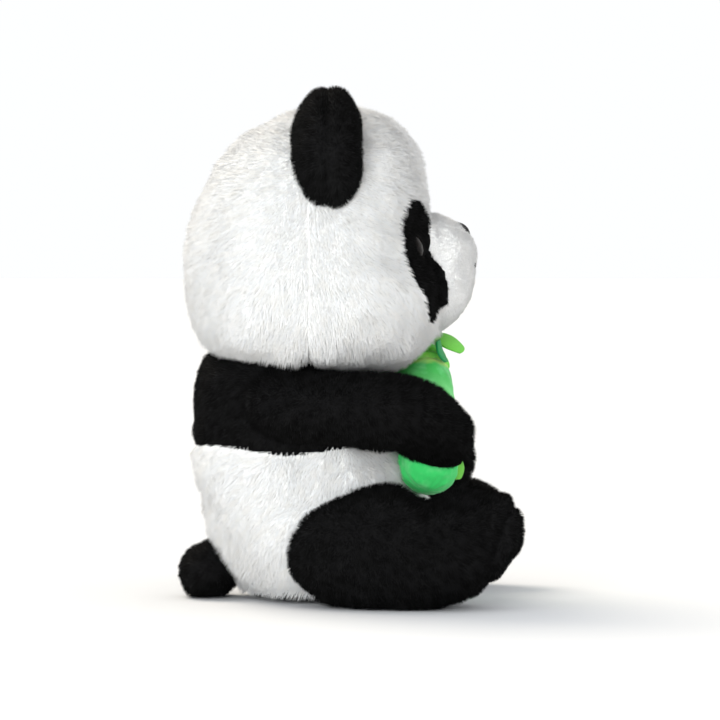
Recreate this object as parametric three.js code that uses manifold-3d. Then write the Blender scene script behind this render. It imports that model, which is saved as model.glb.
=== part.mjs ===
// A seated plush panda that hugs a stuffed bamboo stalk, as the sewn pieces it is made of.
// Millimetres, +Z up. It faces -Y and its own left is +X. The origin is on the surface it sits on,
// under the middle of its bounding box. Plush panels are modelled at the middle of their pile.
import * as THREE from "three";
import { mergeVertices } from "three/addons/utils/BufferGeometryUtils.js";
import Module from "manifold-3d";

const wasm = await Module();
wasm.setup();

// ---- Driving dimensions ----

const FAR = 400; // larger than the whole toy
const PLUSH = 3; // thickness of a plush panel, pile pressed flat
const VELOUR = 1.6; // thickness of the short-pile bamboo cloth
const FELT = 1.3; // thickness of a felt leaf
const SEAM = 0.3; // gap that stands for a sewn seam between two panels
const SEAT_FLAT = 3; // how much of a soft form the seat surface presses flat

const NECK = { at: [0, 20, 141], radius: 38 };
const NECK_PLAY = 1.6;

// Sections are [half width, front y, back y], evenly spaced from the form's low end to its high end.
const HEAD = {
  low: 144,
  high: 285,
  bottom: 6,
  top: 2.4,
  plan: 2.4,
  sections: [
    [79, -46, 92],
    [85, -54, 92],
    [81, -43, 88],
    [71, -42, 78],
    [54, -36, 64],
  ],
};
const HEAD_SEAM_Y = 23;
const CHIN_HOLLOW = { at: [12, -52, 139], half: [45, 30, 21] };
const MUZZLE = { at: [0, -38, 189], half: [33, 33, 31] };

const TORSO = {
  low: -SEAT_FLAT,
  high: 138,
  bottom: 4,
  top: 5,
  sections: [
    [54, -24, 64],
    [63, -42, 80],
    [60, -37, 86],
    [50, -26, 88],
    [48, -20, 84],
  ],
};
const BAND_Z = 93; // the black shoulder band's lower seam
const SIDE_SEAM_Y = 4;
const SEAT_BASE_Z = 7;
const PELLET_BAG = { at: [0, 20, 12], half: [36, 32, 14] };

const EAR = { at: [62, 13, 261], half: [31, 17, 35], clearance: 3.2 };
const TAIL = { at: [0, 82, 18], half: [21, 15, 17], clearance: 3 };

const LEG = {
  low: -SEAT_FLAT,
  high: 68,
  middleX: 64,
  splay: 5, // degrees that the foot points outward
  sections: [
    [28, -92, 24],
    [30, -97, 32],
    [29, -97, 28],
    [26, -94, 16],
  ],
  clearance: 1.2,
};
const SOLE_Y = -83;

const ARM_RADIUS = 20.5;
const PAW_GAP = 2.2; // between a paw and the stalk it hugs
const ARM_ROUTES = {
  right: [
    [-30, 50, 113],
    [-54, 30, 113.5],
    [-69, 2, 111.5],
    [-64, -30, 108],
    [-42, -51, 99],
  ],
  left: [
    [30, 50, 113],
    [54, 30, 113.5],
    [69, 2, 110],
    [57, -35, 100],
    [22, -58, 86],
  ],
};

const STALK = { low: [-27, -47.5, 82], high: [17, -44, 136], radius: 16.4 };
const NODE_BAND = { height: 4, proud: 0.8, lowerAt: 20, upperAt: 62 }; // along the stalk

const EYE = { radius: 7, dome: 5.5, shank: 2, hole: 2.6, depth: 13 };
const EYE_AT = { x: 38, z: 205 };
const PATCH = { x: 40, z: 196, halfWidth: 16, halfHeight: 32, tilt: 8 };
const WASHER = { radius: 7, thickness: 1.6 };
const NOSE = { at: [0, -63, 211], halfWidth: 11, halfHeight: 7, proud: 1.6 };
const MOUTH = { line: 1.4, proud: 1, arc: 8, drop: 9 };

// ---- Materials ----

function material(name, color, roughness = 0.95) {
  return new THREE.MeshStandardMaterial({ name, color, roughness, metalness: 0 });
}
const WHITE_PLUSH = material("white_plush", 0xf3f2ec);
const MUZZLE_PLUSH = material("muzzle_plush", 0xf0efea);
const BLACK_PLUSH = material("black_plush", 0x111112);
const FIBRE = material("polyester_fibre", 0xe9e9e4);
const BAG_CLOTH = material("pellet_bag_cloth", 0xd8d5cc);
const EYE_PLASTIC = material("eye_plastic", 0x0b0a0a, 0.12);
const WASHER_PLASTIC = material("washer_plastic", 0xe6e6e2, 0.5);
const BLACK_THREAD = material("black_thread", 0x161415, 0.6);
const MINT_VELOUR = material("mint_velour", 0x3ccb6c, 0.85);
const GREEN_VELOUR = material("green_velour", 0x45b75b, 0.85);
const LIME_VELOUR = material("lime_velour", 0x63d23a, 0.85);
const BAND_VELOUR = material("band_velour", 0xa6c34c, 0.85);
const LIME_FELT = material("lime_felt", 0x6fdc45);
const DARK_FELT = material("dark_felt", 0x1f8f4c);

// ---- Closed meshes to solids and back ----

function signedVolume(geometry) {
  const p = geometry.getAttribute("position");
  const [a, b, c] = [new THREE.Vector3(), new THREE.Vector3(), new THREE.Vector3()];
  let sum = 0;
  for (let i = 0; i < p.count; i += 3) {
    a.fromBufferAttribute(p, i);
    b.fromBufferAttribute(p, i + 1);
    c.fromBufferAttribute(p, i + 2);
    sum += a.dot(b.cross(c));
  }
  return sum / 6;
}

function solidOf(geometry, matrix = new THREE.Matrix4()) {
  const loose = geometry.index ? geometry.toNonIndexed() : geometry.clone();
  const bare = new THREE.BufferGeometry().setAttribute("position", loose.getAttribute("position"));
  bare.applyMatrix4(matrix);
  const merged = mergeVertices(bare, 1e-3);
  const triVerts = new Uint32Array(merged.index.array);
  if (signedVolume(bare) < 0) triVerts.reverse();
  return new wasm.Manifold(
    new wasm.Mesh({ numProp: 3, vertProperties: merged.attributes.position.array, triVerts }),
  );
}

function geometryOf(solid) {
  const { numProp, numVert, vertProperties, triVerts } = solid.getMesh();
  const positions = new Float32Array(numVert * 3);
  for (let i = 0; i < numVert; i++) {
    positions.set(vertProperties.subarray(i * numProp, i * numProp + 3), i * 3);
  }
  return new THREE.BufferGeometry()
    .setAttribute("position", new THREE.BufferAttribute(positions, 3))
    .setIndex(new THREE.BufferAttribute(triVerts, 1));
}

// A box that reaches FAR on every side that isn't given.
function region({ x = [-FAR, FAR], y = [-FAR, FAR], z = [-FAR, FAR] }) {
  const box = new THREE.BoxGeometry(x[1] - x[0], y[1] - y[0], z[1] - z[0]);
  box.translate((x[0] + x[1]) / 2, (y[0] + y[1]) / 2, (z[0] + z[1]) / 2);
  return solidOf(box);
}

const below = (v) => [-FAR, v - SEAM / 2];
const above = (v) => [v + SEAM / 2, FAR];
const sideOf = (side) => (side > 0 ? above(0) : below(0));
const ABOVE_SEAT = region({ z: [0, FAR] });

// ---- Soft forms ----

const signedPower = (v, e) => Math.sign(v) * Math.abs(v) ** e;

// A soft closed form: a sphere whose rings follow the sections and whose ends are squared off.
// A positive inset shrinks it on every side, and a negative one grows it.
function softForm(form, inset = 0, around = 16, rings = 10) {
  const { low, high, sections, bottom = 2.6, top = 2.6, plan = 2.2 } = form;
  const sectionAt = new THREE.CatmullRomCurve3(sections.map((s) => new THREE.Vector3(...s)));
  const halfHeight = (high - low) / 2;
  const shape = new THREE.SphereGeometry(1, around, rings).rotateX(Math.PI / 2);
  const p = shape.getAttribute("position");
  for (let i = 0; i < p.count; i++) {
    const ring = Math.hypot(p.getX(i), p.getY(i));
    const end = 2 / (p.getZ(i) > 0 ? top : bottom);
    const height = signedPower(p.getZ(i), end);
    const [halfWidth, front, back] = sectionAt.getPoint((height + 1) / 2).toArray();
    const spread = ring < 1e-6 ? 0 : ring ** end;
    const across = ring < 1e-6 ? 0 : signedPower(p.getX(i) / ring, 2 / plan);
    const along = ring < 1e-6 ? 0 : signedPower(p.getY(i) / ring, 2 / plan);
    p.setXYZ(
      i,
      spread * across * (halfWidth - inset),
      (front + back) / 2 + spread * along * ((back - front) / 2 - inset),
      low + halfHeight + height * (halfHeight - inset),
    );
  }
  return shape;
}

// A simple rounded form, given its middle and half sizes.
function roundForm({ at, half }, inset = 0, squareness = 2.3, around = 12, rings = 8) {
  const section = [half[0], -half[1], half[1]];
  const form = {
    low: -half[2],
    high: half[2],
    sections: [section, section],
    bottom: squareness,
    top: squareness,
  };
  return softForm(form, inset, around, rings).translate(...at);
}

// Bends a form that stands on z from 0 to length along a curve, its +x side turned outward.
function bentAlong(geometry, curve, length, side) {
  const p = geometry.getAttribute("position");
  const up = new THREE.Vector3(0, 0, 1);
  for (let i = 0; i < p.count; i++) {
    const t = p.getZ(i) / length;
    const tangent = curve.getTangent(t);
    const outward = new THREE.Vector3().crossVectors(tangent, up).normalize();
    const rise = new THREE.Vector3().crossVectors(outward, tangent);
    outward.multiplyScalar(-side);
    const point = curve.getPoint(t);
    point.addScaledVector(outward, p.getX(i)).addScaledVector(rise, p.getY(i));
    p.setXYZ(i, ...point.toArray());
  }
  return geometry;
}

// ---- The scene graph ----

const panda = new THREE.Group();

function add(name, shape, look, parent = panda) {
  const geometry = shape.isBufferGeometry ? shape : geometryOf(shape);
  const mesh = new THREE.Mesh(geometry, look);
  mesh.name = name;
  parent.add(mesh);
  return mesh;
}

const SIDES = { right: -1, left: 1 };

// ---- Shared outer solids that neighbours are cut back from ----

const headOuter = solidOf(softForm(HEAD));
const headInner = solidOf(softForm(HEAD, PLUSH));
const muzzleOuter = solidOf(roundForm(MUZZLE));
const muzzleInner = solidOf(roundForm(MUZZLE, PLUSH));
const torsoOuter = solidOf(softForm(TORSO));
const torsoInner = solidOf(softForm(TORSO, PLUSH));
const neckSocket = solidOf(
  new THREE.SphereGeometry(NECK.radius + NECK_PLAY, 16, 10).translate(...NECK.at),
);
const chinHollow = solidOf(roundForm(CHIN_HOLLOW, 0, 2.2));

// The stalk stands along its own +Y, from its low end's centre.
const stalkLow = new THREE.Vector3(...STALK.low);
const stalkAxis = new THREE.Vector3(...STALK.high).sub(stalkLow);
const STALK_LENGTH = stalkAxis.length();
const stalk = new THREE.Group();
stalk.position.copy(stalkLow);
stalk.quaternion.setFromUnitVectors(new THREE.Vector3(0, 1, 0), stalkAxis.clone().normalize());
stalk.updateMatrixWorld(true);

function stalkEnvelope(gap) {
  const radius = STALK.radius + NODE_BAND.proud + gap;
  const capsule = new THREE.CapsuleGeometry(radius, STALK_LENGTH, 4, 12);
  return solidOf(capsule.translate(0, STALK_LENGTH / 2, 0), stalk.matrixWorld);
}

// ---- Head ----

function outwardFrame(position, direction) {
  const frame = new THREE.Object3D();
  frame.position.set(...position);
  frame.quaternion.setFromUnitVectors(
    new THREE.Vector3(0, 1, 0),
    new THREE.Vector3(...direction).normalize(),
  );
  frame.updateMatrixWorld(true);
  return frame;
}

// The point of the face at that x and z, found on the head's solid, and the direction it faces.
function faceFrame(x, z) {
  const probe = (dx, dz) => {
    const needle = region({
      x: [x + dx - 0.4, x + dx + 0.4],
      y: [-FAR, HEAD_SEAM_Y],
      z: [z + dz - 0.4, z + dz + 0.4],
    });
    return headOuter.intersect(needle).boundingBox().min[1];
  };
  const STEP = 5;
  const slopeX = (probe(STEP, 0) - probe(-STEP, 0)) / (2 * STEP);
  const slopeZ = (probe(0, STEP) - probe(0, -STEP)) / (2 * STEP);
  return outwardFrame([x, probe(0, 0), z], [slopeX, -1, slopeZ]);
}

// A low patch that follows a grown form, between two offsets, inside a cutter.
function appliqued(form, low, high, cutter) {
  return solidOf(form(-high)).subtract(solidOf(form(-low))).intersect(cutter);
}

function addEyes() {
  const domeTop = new THREE.EllipseCurve(0, 0, EYE.radius, EYE.dome, Math.PI / 2, 0, true).getPoints(4);
  const seat = PLUSH;
  const profile = [
    ...domeTop.map((v) => new THREE.Vector2(Math.max(v.x, 0), v.y + seat)),
    new THREE.Vector2(EYE.shank, seat),
    new THREE.Vector2(EYE.shank, -EYE.depth),
    new THREE.Vector2(0, -EYE.depth),
  ];
  profile[0].x = 0;
  const holes = [];
  const pockets = [];
  for (const [name, side] of Object.entries(SIDES)) {
    const frame = faceFrame(side * EYE_AT.x, EYE_AT.z);
    panda.add(frame);
    add(`eye_${name}`, new THREE.LatheGeometry(profile.toReversed(), 12), EYE_PLASTIC, frame);
    const ring = [
      [EYE.shank + SEAM, -PLUSH - 3],
      [WASHER.radius, -PLUSH - 3],
      [WASHER.radius, -PLUSH - 3 - WASHER.thickness],
      [EYE.shank + SEAM, -PLUSH - 3 - WASHER.thickness],
      [EYE.shank + SEAM, -PLUSH - 3],
    ].map((v) => new THREE.Vector2(...v));
    const washer = new THREE.LatheGeometry(ring.toReversed(), 10);
    add(`eye_washer_${name}`, washer, WASHER_PLASTIC, frame);
    const hole = new THREE.CylinderGeometry(EYE.hole, EYE.hole, 4 * EYE.depth, 8);
    const pocket = new THREE.CylinderGeometry(WASHER.radius + 1, WASHER.radius + 1, 2 * EYE.depth + 2, 8);
    holes.push(solidOf(hole, frame.matrixWorld));
    pockets.push(solidOf(pocket, frame.matrixWorld));
  }
  return { holes: holes[0].add(holes[1]), pockets: pockets[0].add(pockets[1]) };
}

function addHead() {
  const { holes, pockets } = addEyes();
  const shell = headOuter
    .subtract(headInner)
    .subtract(muzzleInner)
    .subtract(neckSocket)
    .subtract(chinHollow)
    .subtract(holes);
  for (const [name, side] of Object.entries(SIDES)) {
    const half = region({ x: sideOf(side) });
    const face = half.intersect(region({ y: below(HEAD_SEAM_Y) }));
    const back = half.intersect(region({ y: above(HEAD_SEAM_Y) }));
    add(`face_panel_${name}`, shell.intersect(face), WHITE_PLUSH);
    add(`head_back_panel_${name}`, shell.intersect(back), WHITE_PLUSH);

    const oval = new THREE.CylinderGeometry(1, 1, FAR, 16).scale(PATCH.halfWidth, 1, PATCH.halfHeight);
    const tilt = new THREE.Matrix4().makeRotationY(THREE.MathUtils.degToRad(-side * PATCH.tilt));
    tilt.setPosition(side * PATCH.x, -FAR / 2, PATCH.z);
    const patch = appliqued((inset) => softForm(HEAD, inset), SEAM, 2.4, solidOf(oval, tilt));
    const clear = patch.subtract(solidOf(roundForm(MUZZLE, -SEAM))).subtract(holes);
    add(`eye_patch_${name}`, clear, BLACK_PLUSH);
  }

  const muzzle = muzzleOuter.subtract(muzzleInner).subtract(solidOf(softForm(HEAD, -SEAM)));
  add("muzzle_cover", muzzle.subtract(chinHollow), MUZZLE_PLUSH);

  const filling = solidOf(softForm(HEAD, PLUSH + SEAM)).add(solidOf(roundForm(MUZZLE, PLUSH + SEAM)));
  const chinRoom = solidOf(roundForm(CHIN_HOLLOW, -PLUSH - SEAM, 2.2));
  add("head_filling", filling.subtract(neckSocket).subtract(chinRoom).subtract(pockets), FIBRE);
}

function addNoseAndMouth() {
  const grown = (inset) => roundForm(MUZZLE, inset);
  const noseFrame = outwardFrame(NOSE.at, [0, -0.6, 0.8]);
  const oval = new THREE.CylinderGeometry(1, 1, 30, 12).scale(NOSE.halfWidth, 1, NOSE.halfHeight);
  const nose = appliqued(grown, SEAM, NOSE.proud, solidOf(oval, noseFrame.matrixWorld));
  add("nose", nose, BLACK_THREAD);

  // A line down from the nose that parts into two arcs.
  const forward = [-FAR, MUZZLE.at[1]];
  const noseBottom = nose.boundingBox().min[2] - SEAM;
  const forkZ = noseBottom - MOUTH.drop;
  const line = region({ x: [-MOUTH.line / 2, MOUTH.line / 2], y: forward, z: [forkZ, noseBottom] });
  let stitches = line;
  for (const side of Object.values(SIDES)) {
    const ring = new THREE.Shape().absarc(0, 0, MOUTH.arc + MOUTH.line / 2, 0, 2 * Math.PI);
    ring.holes.push(new THREE.Path().absarc(0, 0, MOUTH.arc - MOUTH.line / 2, 0, 2 * Math.PI));
    const tube = new THREE.ExtrudeGeometry(ring, { depth: FAR, bevelEnabled: false, curveSegments: 6 });
    tube.rotateX(Math.PI / 2).translate(side * MOUTH.arc, MUZZLE.at[1], forkZ);
    stitches = stitches.add(solidOf(tube).intersect(region({ z: [-FAR, forkZ + 0.2] })));
  }
  add("mouth_stitching", appliqued(grown, SEAM, MOUTH.proud, stitches), BLACK_THREAD);
}

function addEars() {
  const headRoom = solidOf(softForm(HEAD, -EAR.clearance));
  for (const [name, side] of Object.entries(SIDES)) {
    const placed = { at: [side * EAR.at[0], EAR.at[1], EAR.at[2]], half: EAR.half };
    const outer = solidOf(roundForm(placed)).subtract(headRoom);
    const hollow = solidOf(roundForm(placed, PLUSH));
    const shell = outer.subtract(hollow);
    add(`ear_front_${name}`, shell.intersect(region({ y: below(EAR.at[1]) })), BLACK_PLUSH);
    add(`ear_back_${name}`, shell.intersect(region({ y: above(EAR.at[1]) })), BLACK_PLUSH);
    const wadding = solidOf(roundForm(placed, PLUSH + SEAM)).subtract(headRoom);
    add(`ear_wadding_${name}`, wadding, FIBRE);
  }
}

// ---- Torso ----

function addTorso() {
  const stalkRoom = stalkEnvelope(1);
  const shell = torsoOuter
    .subtract(torsoInner)
    .subtract(neckSocket)
    .subtract(stalkRoom)
    .intersect(ABOVE_SEAT);
  const bandZ = above(BAND_Z);
  const lowerZ = [SEAT_BASE_Z + SEAM / 2, BAND_Z - SEAM / 2];
  for (const [name, side] of Object.entries(SIDES)) {
    const back = { x: sideOf(side), y: above(SIDE_SEAM_Y) };
    add(`shoulder_band_${name}`, shell.intersect(region({ ...back, z: bandZ })), BLACK_PLUSH);
    add(`back_panel_${name}`, shell.intersect(region({ ...back, z: lowerZ })), WHITE_PLUSH);
  }
  const front = { y: below(SIDE_SEAM_Y) };
  add("chest_panel", shell.intersect(region({ ...front, z: bandZ })), BLACK_PLUSH);
  add("belly_panel", shell.intersect(region({ ...front, z: lowerZ })), WHITE_PLUSH);

  const base = torsoOuter.intersect(region({ z: [0, SEAT_BASE_Z - SEAM / 2] }));
  add("seat_base", base.subtract(torsoInner.intersect(region({ z: [PLUSH, FAR] }))), BLACK_PLUSH);

  const inside = region({ z: [PLUSH + SEAM, FAR] });
  const hollow = solidOf(softForm(TORSO, PLUSH + SEAM)).intersect(inside);
  add("pellet_bag", hollow.intersect(solidOf(roundForm(PELLET_BAG))), BAG_CLOTH);
  const filling = hollow
    .subtract(neckSocket)
    .subtract(stalkEnvelope(1 + PLUSH + SEAM))
    .subtract(solidOf(roundForm(PELLET_BAG, -SEAM)));
  add("body_filling", filling, FIBRE);
  add("neck_filling", new THREE.SphereGeometry(NECK.radius, 16, 10).translate(...NECK.at), FIBRE);
}

function addTail() {
  const torsoRoom = solidOf(softForm(TORSO, -TAIL.clearance));
  const outer = solidOf(roundForm(TAIL)).subtract(torsoRoom);
  const shell = outer.subtract(solidOf(roundForm(TAIL, PLUSH)));
  for (const [name, side] of Object.entries(SIDES)) {
    add(`tail_panel_${name}`, shell.intersect(region({ x: sideOf(side) })), BLACK_PLUSH);
  }
  add("tail_filling", solidOf(roundForm(TAIL, PLUSH + SEAM)).subtract(torsoRoom), FIBRE);
}

// ---- Limbs ----

function addArms() {
  const torsoRoom = solidOf(softForm(TORSO, -2.2));
  for (const [name, side] of Object.entries(SIDES)) {
    const curve = new THREE.CatmullRomCurve3(ARM_ROUTES[name].map((v) => new THREE.Vector3(...v)));
    const length = curve.getLength();
    const radii = [0.9, 1.02, 1, 0.98, 0.95].map((share) => share * ARM_RADIUS);
    const form = {
      low: -ARM_RADIUS * 0.6,
      high: length + ARM_RADIUS * 0.75,
      bottom: 4,
      top: 4,
      plan: 2,
      sections: radii.map((r) => [r, -r, r]),
    };
    const straight = (inset) => solidOf(softForm(form, inset, 12, 10));
    const bent = (solid) => solidOf(bentAlong(geometryOf(solid), stretched(curve), length, side));
    const trimmed = (solid, gap) => solid.subtract(torsoRoom).subtract(stalkEnvelope(gap));
    const blade = new THREE.BoxGeometry(3 * SEAM, 2.4 * ARM_RADIUS, 2 * length, 1, 2, 14);
    const seam = bent(solidOf(blade.translate(0, 0, length / 2)));
    const cover = bent(straight(0).subtract(straight(PLUSH)));
    const [inner, outer] = cover.subtract(seam).decompose().sort((a, b) => reachOf(a) - reachOf(b));
    add(`arm_outer_${name}`, trimmed(outer, PAW_GAP), BLACK_PLUSH);
    add(`arm_inner_${name}`, trimmed(inner, PAW_GAP), BLACK_PLUSH);
    const filling = trimmed(bent(straight(PLUSH + 1.5)), PAW_GAP + PLUSH);
    add(`arm_filling_${name}`, largest(filling), FIBRE);
  }
}

// The same curve, carried on straight past both of its ends.
function stretched(curve) {
  const at = (t) => Math.min(Math.max(t, 0), 1);
  return {
    getTangent: (t) => curve.getTangent(at(t)),
    getPoint: (t) => {
      const past = (t - at(t)) * curve.getLength();
      return curve.getPoint(at(t)).addScaledVector(curve.getTangent(at(t)), past);
    },
  };
}

// How far to the side a solid reaches.
function reachOf(solid) {
  const { min, max } = solid.boundingBox();
  return Math.max(-min[0], max[0]);
}

function largest(solid) {
  const bodies = solid.decompose();
  return bodies.reduce((a, b) => (a.volume() > b.volume() ? a : b));
}

function addLegs() {
  const torsoRoom = solidOf(softForm(TORSO, -LEG.clearance));
  for (const [name, side] of Object.entries(SIDES)) {
    const pose = new THREE.Matrix4().makeRotationZ(THREE.MathUtils.degToRad(side * LEG.splay));
    pose.setPosition(side * LEG.middleX, 0, 0);
    const leg = (inset) => softForm({ ...LEG, bottom: 2.8, top: 2.5 }, inset, 14, 9);
    const local = solidOf(leg(0)).subtract(solidOf(leg(PLUSH)));
    const placed = (solid) =>
      solidOf(geometryOf(solid), pose).subtract(torsoRoom).intersect(ABOVE_SEAT);
    const shank = local.intersect(region({ y: above(SOLE_Y) }));
    const outward = side > 0 ? above(0) : below(0);
    const inward = side > 0 ? below(0) : above(0);
    add(`leg_outer_${name}`, placed(shank.intersect(region({ x: outward }))), BLACK_PLUSH);
    add(`leg_inner_${name}`, placed(shank.intersect(region({ x: inward }))), BLACK_PLUSH);
    add(`sole_${name}`, placed(local.intersect(region({ y: below(SOLE_Y) }))), BLACK_PLUSH);
    const filling = placed(solidOf(leg(PLUSH + SEAM))).intersect(region({ z: [SEAM, FAR] }));
    add(`leg_filling_${name}`, filling, FIBRE);
  }
}

// ---- Bamboo ----

function cupProfile(radius, wall, height) {
  const arc = (r) => new THREE.EllipseCurve(0, 0, r, r, -Math.PI / 2, 0).getPoints(4);
  const outer = arc(radius);
  const inner = arc(radius - wall).reverse();
  outer[0].x = 0;
  inner[inner.length - 1].x = 0;
  return [...outer, new THREE.Vector2(radius, height), new THREE.Vector2(radius - wall, height), ...inner];
}

function tubeProfile(radius, wall, from, to) {
  return [
    [radius, from],
    [radius, to],
    [radius - wall, to],
    [radius - wall, from],
    [radius, from],
  ].map((v) => new THREE.Vector2(...v));
}

function addStalk() {
  const AROUND = 16;
  const { radius } = STALK;
  const { lowerAt, upperAt } = NODE_BAND;
  const bandHalf = NODE_BAND.height / 2;
  const gap = bandHalf + SEAM;
  const lathe = (profile) => new THREE.LatheGeometry(profile, AROUND);
  add("stalk_lower", lathe(cupProfile(radius, VELOUR, lowerAt - gap)), MINT_VELOUR, stalk);
  const top = cupProfile(radius, VELOUR, STALK_LENGTH - upperAt - gap);
  const upper = add("stalk_upper", lathe(top), LIME_VELOUR, stalk);
  upper.rotation.x = Math.PI;
  upper.position.y = STALK_LENGTH;
  const middle = tubeProfile(radius, VELOUR, lowerAt + gap, upperAt - gap);
  add("stalk_middle", lathe(middle), GREEN_VELOUR, stalk);
  for (const [name, at] of Object.entries({ lower: lowerAt, upper: upperAt })) {
    const band = tubeProfile(radius + NODE_BAND.proud, VELOUR, at - bandHalf, at + bandHalf);
    add(`node_band_${name}`, lathe(band), BAND_VELOUR, stalk);
  }
  const core = new THREE.CapsuleGeometry(radius - VELOUR - SEAM, STALK_LENGTH, 4, AROUND);
  add("stalk_filling", core.translate(0, STALK_LENGTH / 2, 0), FIBRE, stalk);
  panda.add(stalk);
}

// A felt leaf that lies along +Y from its sewn root, its faces towards +Z and -Z.
function leafGeometry(length, width) {
  const outline = new THREE.Shape();
  outline.moveTo(-width * 0.22, 0);
  outline.quadraticCurveTo(-width * 0.72, length * 0.5, -width * 0.12, length);
  outline.lineTo(width * 0.12, length);
  outline.quadraticCurveTo(width * 0.72, length * 0.5, width * 0.22, 0);
  outline.closePath();
  return new THREE.ExtrudeGeometry(outline, { depth: FELT, bevelEnabled: false, curveSegments: 5 });
}

// Each leaf is sewn to one rounded end of the stalk, lying along it where that end faces "toward".
const LEAVES = {
  leaf_front: {
    end: STALK.high,
    toward: [-0.3, -0.3, 0.9],
    heading: [0, -1, -0.35],
    length: 24,
    width: 14,
    look: LIME_FELT,
  },
  leaf_hanging: {
    end: STALK.high,
    toward: [-0.75, -0.35, 0.56],
    heading: [0.1, -0.4, -0.9],
    length: 17,
    width: 12,
    look: DARK_FELT,
  },
  leaf_lower: {
    end: STALK.low,
    toward: [0.1, -0.97, -0.1],
    heading: [-0.2, -0.2, -1],
    length: 15,
    width: 12,
    look: LIME_FELT,
  },
};

function addLeaves() {
  for (const [name, leaf] of Object.entries(LEAVES)) {
    const outward = new THREE.Vector3(...leaf.toward).normalize();
    const across = new THREE.Vector3(...leaf.heading).cross(outward).normalize();
    const along = new THREE.Vector3().crossVectors(outward, across);
    const frame = new THREE.Group();
    frame.quaternion.setFromRotationMatrix(new THREE.Matrix4().makeBasis(across, along, outward));
    frame.position.set(...leaf.end).addScaledVector(outward, STALK.radius + NODE_BAND.proud + 2 * SEAM);
    add(name, leafGeometry(leaf.length, leaf.width), leaf.look, frame);
    panda.add(frame);
  }
}

addHead();
addNoseAndMouth();
addEars();
addTorso();
addTail();
addArms();
addLegs();
addStalk();
addLeaves();

export default panda;
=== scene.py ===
"""A seated plush panda that hugs a stuffed bamboo stalk: skins, pile, face and bamboo on its CAD frame.

Lengths are in millimetres until a mesh is made, and in metres after that.
"""

import math

import bpy
import numpy as np
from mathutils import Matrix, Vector
from mathutils.bvhtree import BVHTree


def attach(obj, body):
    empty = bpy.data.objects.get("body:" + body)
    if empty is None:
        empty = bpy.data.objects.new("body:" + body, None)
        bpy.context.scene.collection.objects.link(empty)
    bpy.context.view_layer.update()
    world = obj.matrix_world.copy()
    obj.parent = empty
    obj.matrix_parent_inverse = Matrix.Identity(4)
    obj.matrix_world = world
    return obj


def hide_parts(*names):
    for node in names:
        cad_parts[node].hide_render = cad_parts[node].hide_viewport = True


MM = 0.001
SIDES = {"right": -1, "left": 1}

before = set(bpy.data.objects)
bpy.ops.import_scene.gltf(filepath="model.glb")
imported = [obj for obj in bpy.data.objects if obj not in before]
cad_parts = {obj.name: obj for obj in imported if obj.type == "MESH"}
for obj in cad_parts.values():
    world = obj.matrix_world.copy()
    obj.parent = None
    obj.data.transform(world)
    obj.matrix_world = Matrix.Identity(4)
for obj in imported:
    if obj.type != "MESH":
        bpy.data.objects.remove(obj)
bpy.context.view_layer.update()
rng = np.random.default_rng(20)


# ---- Camera, light and floor, in metres ----

FRAMED_WIDTH = 0.4176  # the width in view at the toy's middle
AIM = Vector((0, -0.0061, 0.1375))
CAMERA_ELEVATION = math.radians(1.6)
LENS = 185


def aim(obj, target):
    obj.rotation_euler = (Vector(target) - obj.location).to_track_quat("-Z", "Y").to_euler()


def link(name, data):
    obj = bpy.data.objects.new(name, data)
    bpy.context.scene.collection.objects.link(obj)
    return obj


def add_camera():
    data = bpy.data.cameras.new("camera")
    data.lens = LENS
    data.clip_end = 50
    camera = link("camera", data)
    distance = FRAMED_WIDTH * LENS / data.sensor_width
    back = Vector((-math.cos(CAMERA_ELEVATION), 0, math.sin(CAMERA_ELEVATION)))
    camera.location = AIM + distance * back
    aim(camera, AIM)
    bpy.context.scene.camera = camera


def add_area_light(name, location, size, power, color):
    data = bpy.data.lights.new(name, "AREA")
    data.size = size
    data.energy = power
    data.color = color
    light = link(name, data)
    light.location = location
    aim(light, (0, 0, 0.13))


def add_studio():
    world = bpy.data.worlds.new("studio")
    bpy.context.scene.world = world
    world.use_nodes = True
    background = world.node_tree.nodes["Background"]
    background.inputs["Color"].default_value = (0.98, 0.99, 1, 1)
    background.inputs["Strength"].default_value = 1.01
    bpy.context.scene.view_settings.view_transform = "Standard"
    key = bpy.data.lights.new("key", "SUN")
    key.energy = 2.2
    key.angle = math.radians(34)
    key.color = (1, 0.9, 0.75)
    sun = link("key", key)
    sun.location = (0.6, 0.6, 1.0)
    aim(sun, (0, 0, 0))
    add_area_light("fill", (-1.7, 0.45, 0.32), 0.6, 10.8, (0.94, 0.98, 1))
    add_area_light("front_fill", (-0.4, -1.8, 0.32), 0.6, 4, (0.96, 0.98, 1))
    add_area_light("low_fill", (-1.25, 0.35, 0.12), 0.26, 4.2, (0.97, 0.99, 1))

    bpy.ops.mesh.primitive_plane_add(size=60)
    floor = bpy.context.object
    floor.name = "floor"
    pale = bpy.data.materials.new("pale_floor")
    pale.use_nodes = True
    shader = pale.node_tree.nodes["Principled BSDF"]
    shader.inputs["Base Color"].default_value = (0.68, 0.69, 0.705, 1)
    shader.inputs["Roughness"].default_value = 0.9
    floor.data.materials.append(pale)


add_camera()
add_studio()


# ---- Materials ----


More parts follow.
